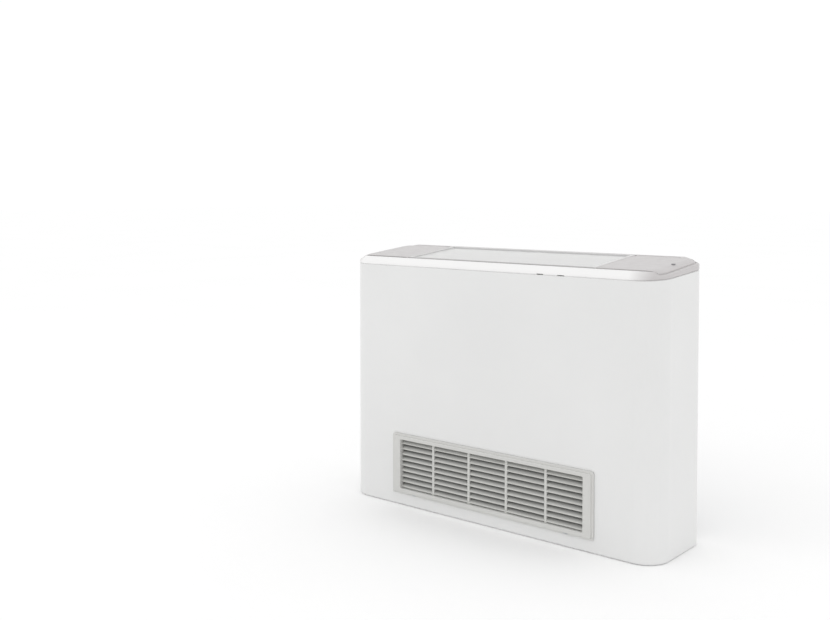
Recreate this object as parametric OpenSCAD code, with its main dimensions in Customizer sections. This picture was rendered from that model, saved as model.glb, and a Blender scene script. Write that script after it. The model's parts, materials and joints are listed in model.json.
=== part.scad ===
// Floor-standing cased fan coil unit: white sheet casing, sloping moulded top with an outlet grille and two lids,
// hinged intake grille with a filter, and the chassis with blowers, coil, drain pan and terminal box inside.
// Millimetres. X along the width, the front faces -Y, Z up, origin at the middle of the footprint.

/* [Cabinet] */
// Width of the casing
cab_w = 800; // [800:5:860]
// Depth from the intake grille's face to the back
cab_d = 220; // [220:1:224]
// Height of the top's front edge
top_front_h = 567.5; // [567.5:0.5:587.5]
// Radius of the front vertical corners
corner_front_r = 54; // [52:1:56]
// Radius of the rear vertical corners
corner_rear_r = 47; // [45:1:48]
// How far the intake grille's frame stands proud of the casing
grille_proud = 6; // [6:0.5:7]

/* [Top] */
// Rise of the top from front to rear
top_rise = 21.5; // [19:0.5:22]
// Rise of the casing's upper edge from front to rear
seam_rise = 14.5; // [12:0.5:15]
// Radius of the top's rounded edge
edge_r = 16.5; // [15.5:0.5:16.5]
// Half width of the outlet opening
outlet_half_w = 245; // [235:1:246]
// Number of outlet vanes
vane_count = 18; // [12:1:20]
// Thickness of an outlet vane
vane_t = 2.6; // [2:0.1:2.8]

/* [Intake grille] */
// Number of slats
slat_count = 9; // [7:1:9]
// Number of bays across the grille
bay_count = 5; // [4:1:6]
// Slope of the slats
slat_tilt = 38; // [30:1:42]

/* [Blower] */
// Blades on each wheel
blade_count = 30; // [18:1:36]
// Outer radius of the wheels
wheel_r = 62; // [60:0.5:63]
// Radius of the motor's drum
motor_r = 46; // [40:1:48]

/* [Coil] */
// Number of fins
fin_count = 30; // [12:1:36]
// Thickness of a fin
fin_t = 1.2; // [0.8:0.1:1.4]

/* [Connections] */
// Bore radius of the water sockets
socket_r = 12.1; // [11.5:0.1:12.6]
// Outer radius of the drain spigot
drain_r = 9; // [8:0.1:9]
// Bore radius of the cable gland
gland_r = 5; // [4:0.1:5.5]
// Radius of the wall-fixing keyholes
keyhole_r = 6; // [5.5:0.1:6.5]

/* [Hidden] */
$fn = 64;
ts = 1.2;
xh = cab_w/2;
yB = cab_d/2;
yG = -cab_d/2;
yF = yG + grille_proud;
zf = top_front_h;
ta = atan(top_rise/(yB - yF));
tb = atan(seam_rise/(yB - yF));
z_seam = zf - 14.8;
fp_h = z_seam - 1.5;
ct = fp_h - ts;
ep_h = ct - 2;
bp_h = fp_h + seam_rise - 2.5;
cx = 275;
cyf = yF + 16;
cyi = cyf + ts;
yb = yB - ts;
dk = 260;
fy = 12;
fz = 130;
deck_t = 5.5;
lx0 = outlet_half_w + 4;
band_y = yF + 28;
hy = 86;
hw = -3.2;
ear_x = xh - 48;
latch_x = xh - 22;
latch_y = 2;
ga_y = yG + 3.4;
ga_z = 29.5;
gb_y = yF - 0.6;
ca = 21.8;
row_y = 11;
tube_r = 4.8;
tube_pitch = 28;
hdr_x = 297;
end_z = 3.5*tube_pitch;
gx = 264;

white = [0.93, 0.93, 0.92];
cap_white = [0.90, 0.89, 0.88];
grille_grey = [0.78, 0.77, 0.74];
zinc = [0.66, 0.69, 0.70];
steel = [0.55, 0.56, 0.58];
copper = [0.75, 0.45, 0.28];
brass = [0.80, 0.66, 0.32];
alu = [0.80, 0.82, 0.84];
black = [0.12, 0.12, 0.13];
foam = [0.16, 0.16, 0.17];
dark = [0.22, 0.23, 0.25];

// ---- shared shapes ----

// Plan outline of the casing, moved inwards by i
module plan(i = 0) {
  x = xh - i; y0 = yF + i; y1 = yB - i;
  r1 = corner_front_r - i; r2 = corner_rear_r - i;
  union() {
    translate([-(x - r1), y0]) square([2*(x - r1), y1 - y0]);
    translate([-x, y0 + r1]) square([2*x, y1 - r2 - y0 - r1]);
    translate([-(x - r2), y0 + r1]) square([2*(x - r2), y1 - y0 - r1]);
    for (s = [-1, 1]) {
      translate([s*(x - r1), y0 + r1]) circle(r1);
      translate([s*(x - r2), y1 - r2]) circle(r2);
    }
  }
}
module rear_gap() translate([-(xh - 50), 60]) square([2*(xh - 50), 100]);
// Frame of the sloping top: z = 0 is the top surface
module tilt() translate([0, yF, zf]) rotate([ta, 0, 0]) translate([0, -yF, 0]) children();
// Frame of the casing's sloping upper edge: z = 0 is that edge
module tilt_s() translate([0, yF, fp_h]) rotate([tb, 0, 0]) translate([0, -yF, 0]) children();
// Part of an upright shape between two levels of that frame
module band(w0, w1) difference() {
  linear_extrude(800) children();
  tilt_s() box([-600, -400, w0 - 900], [600, 500, w0]);
  tilt_s() box([-600, -400, w1], [600, 500, w1 + 400]);
}
module below(w) tilt() translate([-600, -400, w - 200]) cube([1200, 900, 200]);
module box(a, b) translate(a) cube(b - a);
// Slab with a rounded upper edge, a little larger than the plan outline; its upper face is at z = 0
module edge2d(r, h) union() {
  square([r - edge_r, h]);
  square([r, h - edge_r]);
  translate([r - edge_r, h - edge_r]) circle(edge_r);
}
module rounded_slab(h) translate([0, 0, -h]) {
  x = xh + 2.5; y0 = yF - 2.5; y1 = yB + 2.5;
  r1 = corner_front_r - 1; r2 = corner_rear_r - 1;
  box([-(x - r1), y0 + r1, 0], [x - r1, y1 - r2, h]);
  translate([-(x - r1), y0 + r1, 0]) rotate([90, 0, 90]) linear_extrude(2*(x - r1)) mirror([1, 0]) edge2d(r1, h);
  translate([-(x - r2), y1 - r2, 0]) rotate([90, 0, 90]) linear_extrude(2*(x - r2)) edge2d(r2, h);
  for (s = [-1, 1]) sided(s) {
    translate([x - r1, y1 - r2, 0]) rotate([90, 0, 0]) linear_extrude(y1 - r2 - y0 - r1) edge2d(r1, h);
    translate([x - r1, y0 + r1, 0]) rotate([0, 0, -90]) rotate_extrude(angle = 90) edge2d(r1, h);
    translate([x - r2, y1 - r2, 0]) rotate_extrude(angle = 90) edge2d(r2, h);
  }
}
module xcyl(x0, x1, y, z, r, n = 64) translate([x0, y, z]) rotate([0, 90, 0]) cylinder(r = r, h = x1 - x0, $fn = n);
module ycyl(y0, y1, x, z, r) translate([x, y0, z]) rotate([-90, 0, 0]) cylinder(r = r, h = y1 - y0);
module sided(s) mirror([s < 0 ? 1 : 0, 0, 0]) children();
// Frame of the leaning coil: local z up along the coil, local y through it
module coil_at() translate([0, 6, 419]) rotate([-ca, 0, 0]) children();
function tube_z(i) = -end_z + tube_pitch*i;

// Screw positions
casing_screw_x = [-200, 0, 200];
front_screw_z = [190, 280, 300, 536];
end_screw_yz = [[-60, 252], [60, 252], [-60, 11], [60, 11], [99.5, 120], [99.5, 420]];
fan_screw_xy = [[-30, 22], [30, 22], [-30, 42], [30, 42], [-100, 18], [-172, 18], [100, 18], [172, 18]];
box_screw_yz = [[-50, 366], [50, 366], [-50, 504], [50, 504]];
box_fix_yz = [[-40, 380], [40, 380], [0, 492]];

// ---- casing ----

module front_casing() color(white) difference() {
  union() {
    linear_extrude(fp_h + 40) difference() { plan(0); plan(ts); rear_gap(); }
    linear_extrude(ts) difference() { plan(0); plan(15); rear_gap(); }
    band(-ts, 0.5) difference() { plan(0.6); plan(26); rear_gap(); }
  }
  tilt_s() box([-600, -400, 0], [600, 500, 100]);
  box([-(gx - 9), yF - 1, 34], [gx - 9, yF + 10, 162]);
  tilt_s() for (x = casing_screw_x) translate([x, yF + 21, -5]) cylinder(r = 2.2, h = 10);
  for (s = [-1, 1]) box([s*200 - 5.5, yF - 1, 26.6], [s*200 + 5.5, yF + 5, 32]);
}

module casing_screws() color(steel) tilt_s() for (x = casing_screw_x) translate([x, yF + 21, 0]) {
  cylinder(r = 4, h = 2.4);
  translate([0, 0, -12]) cylinder(r = 2, h = 12.5);
}

module lid_well(i) difference() {
  intersection() { plan(i); translate([lx0 + i - 14, band_y + i - 14]) square([400, hy + 4.6 - band_y - i + 14]); }
  translate([ear_x, hy - 3.4]) square([200, 100]);
}

module top_cover() color(cap_white) difference() {
  union() {
    difference() {
      intersection() { linear_extrude(800) plan(0); tilt() rounded_slab(60); }
      tilt_s() box([-600, -400, -300], [600, 500, 1.5]);
      intersection() { linear_extrude(800) plan(2.5); below(-14); }
      intersection() { linear_extrude(800) plan(7); below(-deck_t); }
      tilt() {
        box([-outlet_half_w + 4, band_y + 4, -30], [outlet_half_w - 4, yB - 18, 30]);
        box([-outlet_half_w, band_y, -3], [outlet_half_w, yB - 14.6, 30]);
        for (s = [-1, 1]) sided(s) {
          translate([0, 0, -3]) linear_extrude(30) lid_well(14);
          translate([0, 0, -30]) linear_extrude(60) lid_well(18);
        }
        // ledge under the overhanging ends of the lids
        translate([0, 0, -3]) linear_extrude(30) difference() { translate([-500, band_y - 0.6]) square([1000, hy - 2.8 - band_y]); plan(15); }
      }
    }
    // ribs beside the outlet, which carry the inner ends of the lid pins
    for (s = [-1, 1]) sided(s) tilt() box([outlet_half_w, band_y - 1.5, -9], [lx0, yB - 15, -0.05]);
    // ears for the outer ends of the lid pins
    for (s = [-1, 1]) sided(s) tilt() box([ear_x, hy - 3.4, -8], [ear_x + 8, yB - 16, -0.05]);
    // skirt that stands on the casing's top flange
    band(0, 9) difference() { plan(2); plan(5); rear_gap(); }
  }
  for (s = [-1, 1]) sided(s) tilt() xcyl(outlet_half_w + 0.6, ear_x + 7, hy, hw, 1.52);
  // two small notches in the lower edge of the lip
  for (x = [124, 174]) box([x, yF - 1, fp_h - 1], [x + 16, yF + 6.5, z_seam + 2.4]);
}

module outlet_grille() color(cap_white) tilt() {
  y0 = band_y + 0.2; y1 = yB - 14.8; x1 = outlet_half_w - 0.2;
  difference() {
    union() {
      box([-x1, y0, -2.8], [x1, y1, -0.2]);
      box([-x1 + 5, y0 + 4, -12.5], [x1 - 5, y1 - 4, -1]);
    }
    box([-x1 + 7, y0 + 6, -20], [x1 - 7, y1 - 6, 10]);
  }
  pitch = (y1 - y0 - 12)/(vane_count + 1);
  for (i = [1:vane_count])
    box([-x1 + 6.5, y0 + 6 + pitch*i - vane_t/2, -12.5], [x1 - 6.5, y0 + 6 + pitch*i + vane_t/2, -3.4]);
  for (x = [-0.5, 0, 0.5]) box([x*x1 - 1.5, y0 + 5.5, -12], [x*x1 + 1.5, y1 - 5.5, -7]);
}

module lid_blank(hole) tilt() difference() {
  union() {
    translate([0, 0, -2.7]) linear_extrude(2.5) difference() {
      intersection() { plan(14.5); translate([lx0 + 0.5, band_y + 0.5]) square([400, hy + 2.5 - band_y]); }
      translate([ear_x - 0.6, hy - 5]) square([200, 100]);
      translate([lx0 - 1, hy - 5.4]) square([5.6, 100]);
    }
    // thin edge over the ledge of the top
    translate([0, 0, -2]) linear_extrude(1.8)
      intersection() { plan(8); translate([xh - 90, band_y + 0.5]) square([400, hy - 7.5 - band_y]); }
    xcyl(lx0 + 4.6, ear_x - 0.6, hy, hw, 2.9);
  }
  xcyl(lx0 - 1, ear_x + 1, hy, hw, 1.55);
  if (hole) translate([latch_x, latch_y, -10]) cylinder(r = 3.55, h = 20);
}
module left_lid() color(cap_white) sided(-1) lid_blank(false);
module right_lid() color(cap_white) lid_blank(true);
module lid_pin() tilt() xcyl(outlet_half_w + 1, ear_x + 6, hy, hw, 1.5);
module left_lid_pin() color(steel) sided(-1) lid_pin();
module right_lid_pin() color(steel) lid_pin();

// Quarter-turn lock: slotted head above the lid, tongue below it
module right_lid_lock() color(steel) tilt() translate([latch_x, latch_y, 0]) difference() {
  union() {
    translate([0, 0, 0]) cylinder(r = 4.2, h = 1.3);
    translate([0, 0, -8]) cylinder(r = 3.5, h = 8.4);
    box([-4, -5, -8.2], [4, 14, -6.2]);
  }
  box([-3.2, -0.6, 0.6], [3.2, 0.6, 3]);
}

// ---- intake grille and filter ----

module intake_grille() color(grille_grey) {
  ix = gx - 24; iz0 = 39.5; iz1 = 152.3;
  pitch = (iz1 - iz0)/slat_count;
  bay = 495/bay_count;
  difference() {
    union() {
      difference() {
        union() {
          box([-gx, yG + 3, ga_z], [gx, gb_y, 166]);
          box([-gx + 5, yG, ga_z], [gx - 5, yG + 4, 161]);
          xcyl(-gx, gx, ga_y, ga_z, 2.2);
        }
        box([-ix, yG - 1, iz0], [ix, gb_y + 1, iz1]);
      }
      // inner side walls, side channels for the filter and a sill below it
      for (s = [-1, 1]) sided(s) {
        box([ix, gb_y - 1, 37], [ix + 2.2, yF + 12.8, 155]);
        box([gx - 14, gb_y - 1, 37], [gx - 11.5, yF + 17, 159]);
        box([gx - 19, yF + 15.8, 37], [gx - 12, yF + 17, 159]);
      }
      box([-gx + 13, gb_y - 1, 37], [gx - 13, yF + 17, 39.5]);
      for (i = [1:bay_count - 1]) box([bay*(i - bay_count/2) - 3, yF + 1, iz0 - 1], [bay*(i - bay_count/2) + 3, yF + 12.5, iz1 + 1.5]);
      box([-ix - 1, gb_y - 1, iz1], [ix + 1, yF + 12.8, iz1 + 2]);
      for (k = [0:slat_count - 1])
        translate([0, yF + 6.2, iz0 + pitch*(k + 0.5)]) rotate([slat_tilt, 0, 0])
          box([-ix - 0.5, -7, -1], [ix + 0.5, 7, 1]);
    }
    for (s = [-1, 1]) {
      box([s*200 - 6, yG + 1, 20], [s*200 + 6, yF + 1, 33.5]);
      xcyl(s*200 - 17, s*200 + 17, ga_y, ga_z, 1.27);
    }
  }
}
module grille_hinge_pins() color(steel) for (s = [-1, 1]) xcyl(s*200 - 16, s*200 + 16, ga_y, ga_z, 1.25);
module grille_hinge_lugs() color(zinc) for (s = [-1, 1]) translate([s*200, 0, 0]) difference() {
  union() {
    xcyl(-5, 5, ga_y, ga_z, 2.1);
    box([-5, ga_y, 27.4], [5, yF + 3, 31.2]);
    box([-10, yF + ts, 10], [10, yF + 3, 33]);
  }
  xcyl(-6, 6, ga_y, ga_z, 1.3);
}
module grille_clips() color(steel) for (s = [-1, 1]) translate([s*120, 0, 0]) {
  box([-10, yF + ts, 164.5], [10, yF + 2.5, 180]);
  box([-10, yF + ts, 164.5], [10, yF + 5.4, 165.5]);
}
module filter_frame() color(dark) {
  fx = gx - 14.6; y0 = yF + 13.2;
  difference() {
    box([-fx, y0, 39.9], [fx, y0 + 2.2, 156]);
    box([-fx + 9.4, y0 - 2, 49], [fx - 9.4, y0 + 6, 147]);
  }
  for (x = [-0.5, 0, 0.5]) box([x*fx - 2, y0, 48.5], [x*fx + 2, y0 + 1, 147.5]);
  box([-fx + 8.9, y0, 96], [fx - 8.9, y0 + 1, 100]);
  // pull tab
  box([-18, y0 + 0.2, 155.5], [18, y0 + 2, 159.8]);
}
module filter_mesh() color([0.35, 0.37, 0.4]) box([-gx + 24, yF + 14.4, 49], [gx - 24, yF + 15, 147]);

// ---- chassis ----

module keyhole(z) translate([cx + 14, yB - 3, z]) {
  rotate([-90, 0, 0]) cylinder(r = keyhole_r, h = 6);
  box([-2.6, 0, 0], [2.6, 6, 14]);
  translate([0, 0, 14]) rotate([-90, 0, 0]) cylinder(r = 2.6, h = 6);
}
module end_plate() difference() {
  union() {
    box([cx - ts, cyi, 0], [cx, yB, ep_h]);
    box([cx - ts - 15, cyi, 0], [cx - 0.1, cyi + ts, ep_h]);
    box([cx - 0.1, yb, 0], [cx + 26, yB, ep_h]);
    box([cx - 0.1, -75, 0], [cx + 26, yb + 0.1, ts]);
  }
  for (z = [90, 480]) keyhole(z);
  for (p = end_screw_yz) xcyl(cx - 4, cx + 1, p[0], p[1], 2.1);
  for (z = front_screw_z) ycyl(cyi - 1, cyi + 3, cx - 9, z, 2.1);
}
module right_end_plate() color(zinc) difference() {
  end_plate();
  coil_at() for (y = [-row_y, row_y], z = [-end_z, end_z]) xcyl(cx - 4, cx + 2, y, z, 7.05);
  xcyl(cx - 4, cx + 2, -58, 278, drain_r + 0.6);
}
module left_end_plate() color(zinc) sided(-1) difference() {
  end_plate();
  xcyl(cx - 4, cx + 2, -72, 235, 7.05);
  for (p = box_fix_yz) xcyl(cx - 4, cx + 2, p[0], p[1], 1.6);
}
module back_plate() color(zinc) difference() {
  union() {
    box([-cx + ts, yb, 3], [cx - ts, yB, bp_h]);
    for (s = [-1, 1]) sided(s) box([cx - 2*ts, yb - 15, 3], [cx - ts, yb + 0.1, bp_h]);
    box([-cx + ts + 0.1, yb - 20, bp_h - ts], [cx - ts - 0.1, yb + 0.1, bp_h]);
  }
  for (s = [-1, 1], p = end_screw_yz) sided(s) xcyl(cx - 10, cx + 1, p[0], p[1], 2.1);
}
module upper_front_plate() color(zinc) difference() {
  union() {
    box([-cx, cyf, 290], [cx, cyi, ct]);
    tilt_s() box([-cx, cyf + 0.6, -2*ts], [cx, cyf + 20, -ts]);
  }
  tilt_s() for (x = casing_screw_x) translate([x, yF + 21, -8]) cylinder(r = 2.2, h = 10);
  for (s = [-1, 1], z = front_screw_z) ycyl(cyf - 1, cyi + 1, s*(cx - 9), z, 2.1);
}
module lower_front_plate() color(zinc) difference() {
  union() {
    box([-cx, cyf, 180], [cx, cyi, 289.5]);
    box([-cx + 20, cyf, 180], [cx - 20, cyi + 10, 180 + ts]);
  }
  for (s = [-1, 1], z = front_screw_z) ycyl(cyf - 1, cyi + 1, s*(cx - 9), z, 2.1);
}
module bottom_plate() color(zinc) difference() {
  union() {
    box([-cx + ts, cyi + 1.8, ts], [cx - ts, yb - 0.1, 2*ts]);
    for (s = [-1, 1]) sided(s) box([cx - 2*ts, cyi + 1.8, ts], [cx - ts, yb - 15.2, 20]);
  }
  for (s = [-1, 1], p = end_screw_yz) sided(s) xcyl(cx - 10, cx + 1, p[0], p[1], 2.1);
}
module fan_deck() color(zinc) difference() {
  union() {
    box([-cx + ts, cyi + 1.8, dk], [cx - ts, yb - 0.1, dk + ts]);
    for (s = [-1, 1]) sided(s) box([cx - 2*ts, cyi + 1.8, dk - 16], [cx - ts, yb - 15.2, dk + ts]);
  }
  for (s = [-1, 1]) sided(s) {
    box([cx - 2*ts - 0.2, yb - 15.2, dk - 5], [cx, yB, dk + 5]);
    box([64, fy + 14.2, dk - 5], [208, fy + 88, dk + 5]);
  }
  for (s = [-1, 1], p = end_screw_yz) sided(s) xcyl(cx - 10, cx + 1, p[0], p[1], 2.1);
  for (p = fan_screw_xy) translate([p[0], p[1], dk - 5]) cylinder(r = 2.1, h = 10);
}
module chassis_screws() color(steel) for (s = [-1, 1]) sided(s) {
  for (p = end_screw_yz) {
    xcyl(cx, cx + 2.2, p[0], p[1], 4);
    xcyl(cx - 8, cx + 0.5, p[0], p[1], 1.9);
  }
  for (z = front_screw_z) {
    ycyl(cyf - 2.2, cyf, cx - 9, z, 4);
    ycyl(cyf - 0.5, cyf + 8, cx - 9, z, 1.9);
  }
}
module front_insulation() color(foam) box([-cx + 18, cyi, 296], [cx - 18, cyi + 6, ct - 14]);
module back_insulation() color(foam) box([-cx + 5, yb - 6, dk + 4], [cx - 5, yb, ct - 7]);

// ---- blowers and motor ----

function scroll_r(t) = 70 + 20*(t - 80)/280;
function spiral(d) = [for (t = [80:10:360]) [fy + (scroll_r(t) - d)*cos(t), fz + (scroll_r(t) - d)*sin(t)]];
module along_x(x0, x1) translate([x0, 0, 0]) rotate([90, 0, 90]) linear_extrude(x1 - x0) children();
module blower_housing() difference() {
  union() {
    along_x(62, 210) polygon(concat(spiral(0), [[fy + 90, dk], [fy + 70*cos(80), dk]]));
    box([88, 12.5, dk - 2], [184, 26, dk]);
    xcyl(59.5, 63, fy, fz, 57.5);
    xcyl(209, 212.5, fy, fz, 57.5);
  }
  along_x(64, 208) polygon(concat(spiral(2), [[fy + 88, dk + 1], [fy + 14.2, dk + 1], [fy + 14.2, fz + 70]]));
  xcyl(50, 220, fy, fz, 54);
  for (x = [100, 172]) translate([x, 18, dk - 5]) cylinder(r = 2.1, h = 10);
}
module left_blower_housing() color(zinc) sided(-1) blower_housing();
module right_blower_housing() color(zinc) blower_housing();

module blower_wheel() {
  difference() {
    union() {
      for (x = [72, 197]) difference() { xcyl(x, x + 3, fy, fz, wheel_r); xcyl(x - 1, x + 4, fy, fz, wheel_r - 12); }
      xcyl(134.5, 137.5, fy, fz, wheel_r);
      xcyl(124, 148, fy, fz, 13);
      translate([74.5, fy, fz]) rotate([90, 0, 90]) linear_extrude(123)
        for (i = [0:blade_count - 1]) rotate(i*360/blade_count) translate([wheel_r - 6, 0]) rotate(40) square([14.4, 1.2], center = true);
    }
    xcyl(60, 220, fy, fz, 5.02);
  }
}
module left_blower_wheel() color(dark) sided(-1) blower_wheel();
module right_blower_wheel() color(dark) blower_wheel();
module motor_shaft() color(steel) xcyl(-160, 160, fy, fz, 5);
module motor_body() color(dark) difference() {
  union() {
    xcyl(-34, 34, fy, fz, motor_r);
    xcyl(-40, 40, fy, fz, motor_r - 6);
    xcyl(-57, 57, fy, fz, 16);
    ycyl(fy - motor_r - 3, fy, -20, fz, 6);
  }
  xcyl(-60, 60, fy, fz, 6.5);
  for (s = [-1, 1]) sided(s) xcyl(46, 58, fy, fz, 11.02);
}
module motor_bearings() color(steel) for (s = [-1, 1]) sided(s) difference() {
  xcyl(46, 55, fy, fz, 11);
  xcyl(45, 56, fy, fz, 5.05);
}
module motor_cushions() color(black) for (s = [-1, 1]) sided(s) difference() {
  xcyl(44, 54, fy, fz, 24);
  xcyl(43, 55, fy, fz, 16.02);
}
module motor_bracket() color(zinc) difference() {
  union() {
    for (s = [-1, 1]) sided(s) box([48, fy - 34, fz - 36], [50, fy + 40, dk]);
    box([-50, fy - 34, dk - 2], [50, fy + 40, dk]);
  }
  xcyl(-60, 60, fy, fz, 24.02);
  for (x = [-30, 30], y = [22, 42]) translate([x, y, dk - 5]) cylinder(r = 2.1, h = 10);
}
module fan_screws() color(steel) for (p = fan_screw_xy) translate([p[0], p[1], 0]) {
  translate([0, 0, dk + ts]) cylinder(r = 4, h = 2.2);
  translate([0, 0, dk - 8]) cylinder(r = 1.9, h = 10);
}

// ---- coil and water side ----

module tube_holes(x0, x1, r) for (y = [-row_y, row_y], i = [0:7]) xcyl(x0, x1, y, tube_z(i), r);
module coil_fins() color(alu) coil_at() for (i = [0:fin_count - 1])
  translate([-246 + i*(492 - fin_t)/(fin_count - 1), 0, 0]) rotate([90, 0, 90]) linear_extrude(fin_t) difference() {
    square([44, 240], center = true);
    for (y = [-row_y, row_y], k = [0:7]) translate([y, tube_z(k)]) circle(tube_r + 0.05);
  }
module bend() rotate([90, 0, 0]) rotate([0, 0, -90]) rotate_extrude(angle = 180) translate([tube_pitch/2, 0]) difference() { circle(tube_r); circle(tube_r - 0.9); }
module straight(x0, x1, z) translate([x0, 0, z]) rotate([0, 90, 0]) linear_extrude(x1 - x0) difference() { circle(tube_r); circle(tube_r - 0.9); }
module coil_tubes() color(copper) coil_at() for (y = [-row_y, row_y]) translate([0, y, 0]) {
  for (i = [0:7]) straight(-254, (i == 0 || i == 7) ? 289 : 254, tube_z(i));
  for (i = [0, 2, 4, 6]) translate([-254, 0, tube_z(i) + tube_pitch/2]) mirror([1, 0, 0]) bend();
  for (i = [1, 3, 5]) translate([254, 0, tube_z(i) + tube_pitch/2]) bend();
}
module coil_end_plates() color(zinc) coil_at() for (s = [-1, 1]) sided(s) difference() {
  union() {
    box([250, -24, -122], [250 + ts, 24, 122]);
    for (q = [-1, 1]) box([250, q > 0 ? 24 - ts : -24, -122], [cx - ts, q > 0 ? 24 : -24 + ts, 122]);
  }
  tube_holes(248, 253, tube_r + 0.2);
}
module header(z) coil_at() difference() {
  translate([hdr_x, -25, z]) rotate([-90, 0, 0]) cylinder(r = 10, h = 50);
  for (y = [-row_y, row_y]) xcyl(280, 289.05, y, z, tube_r + 0.05);
}
module supply_header() color(copper) header(-end_z);
module return_header() color(copper) header(end_z);
module water_socket(z) coil_at() difference() {
  union() {
    xcyl(hdr_x + 3, 312, 0, z, 8);
    xcyl(311, 333, 0, z, 18.5, 6);
    xcyl(329, 336, 0, z, 15.5);
  }
  translate([hdr_x, -25, z]) rotate([-90, 0, 0]) cylinder(r = 10.02, h = 50);
  xcyl(318, 340, 0, z, socket_r);
  xcyl(300, 320, 0, z, 6);
}
module supply_socket() color(brass) water_socket(-end_z);
module return_socket() color(brass) water_socket(end_z);
module air_vent_body() color(brass) coil_at() translate([hdr_x, 0, end_z]) difference() {
  union() {
    translate([0, -36, 0]) rotate([-90, 0, 0]) cylinder(r = 6.5, h = 11, $fn = 6);
    translate([0, -38, 0]) rotate([-90, 0, 0]) cylinder(r = 4.6, h = 3);
  }
  translate([0, -40, 0]) rotate([-90, 0, 0]) cylinder(r = 3.05, h = 12);
}
module bleed_screw() color(steel) coil_at() translate([hdr_x, 0, end_z]) difference() {
  union() {
    translate([0, -41, 0]) rotate([-90, 0, 0]) cylinder(r = 3, h = 12.6);
    translate([0, -42, 0]) rotate([-90, 0, 0]) cylinder(r = 4.4, h = 3.4);
  }
  box([-5, -43, -0.6], [5, -40.8, 0.6]);
}
module pipe_grommets() color(black) {
  coil_at() for (y = [-row_y, row_y], z = [-end_z, end_z]) difference() {
    union() { xcyl(cx - ts, cx + 1, y, z, 7); xcyl(cx, cx + 2, y, z, 9.5); }
    xcyl(cx - 4, cx + 4, y, z, tube_r + 0.1);
  }
  difference() {
    union() { xcyl(-cx - 1, -cx + ts, -72, 235, 7); xcyl(-cx - 2, -cx, -72, 235, 9.5); }
    xcyl(-cx - 4, -cx + 4, -72, 235, 3.2);
  }
}
module pan_insulation() color(foam) box([-262, cyi + 2.5, dk + ts], [262, 11.5, dk + 6.5]);
module drain_pan() color(zinc) difference() {
  box([-262, cyi + 2.5, dk + 6.5], [262, 11.5, dk + 30]);
  box([-260.5, cyi + 4, dk + 8], [260.5, 10, dk + 40]);
  xcyl(250, 270, -58, 278, drain_r - 2);
}
module drain_spigot() color(black) difference() {
  union() {
    xcyl(262, 325, -58, 278, drain_r);
    xcyl(262, 265, -58, 278, drain_r + 3);
  }
  xcyl(260, 330, -58, 278, drain_r - 2);
}

// ---- electrics ----

module terminal_box() color(zinc) difference() {
  box([-341, -58, 360], [-cx, 58, 510]);
  box([-345, -56, 362], [-cx - 2, 56, 508]);
  translate([-310, 24, 355]) cylinder(r = 8.1, h = 10);
  translate([-302, -30, 355]) cylinder(r = 4, h = 10);
  for (p = box_fix_yz) xcyl(-cx - 4, -cx + 2, p[0], p[1], 1.6);
}
module terminal_box_cover() color(zinc) difference() {
  box([-343, -59.5, 358.5], [-341, 59.5, 511.5]);
  for (p = box_screw_yz) xcyl(-345, -339, p[0], p[1], 2.1);
}
module box_screws() color(steel) {
  for (p = box_screw_yz) {
    xcyl(-345.2, -343, p[0], p[1], 4);
    xcyl(-343.5, -333, p[0], p[1], 1.9);
  }
  for (p = box_fix_yz) {
    xcyl(-cx - 4.2, -cx - 2, p[0], p[1], 3.2);
    xcyl(-cx - 2.5, -cx + 5, p[0], p[1], 1.5);
  }
}
module terminal_block() color(black) difference() {
  union() {
    box([-283, -44, 396], [-cx - 2, 44, 424]);
    box([-296, -42, 403], [-282, 42, 417]);
    for (i = [0:6]) box([-299, -42 + 13.5*i, 399], [-282, -39 + 13.5*i, 421]);
  }
  for (i = [0:5]) xcyl(-300, -290, -33.7 + 13.5*i, 410, 2.6);
}
module motor_capacitor() color(alu) {
  ycyl(-38, 22, -294, 470, 15);
  ycyl(22, 26, -294, 470, 10);
  box([-298, -30, 448], [-cx - 2, 14, 457]);
}
module cable_gland() color(dark) translate([-310, 24, 0]) difference() {
  union() {
    translate([0, 0, 345]) cylinder(r = 8, h = 25);
    translate([0, 0, 351]) cylinder(r = 12.5, h = 9, $fn = 6);
    translate([0, 0, 338]) cylinder(r = 10, h = 14);
    translate([0, 0, 362]) cylinder(r = 12.5, h = 5, $fn = 6);
  }
  translate([0, 0, 330]) cylinder(r = gland_r, h = 50);
}

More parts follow.
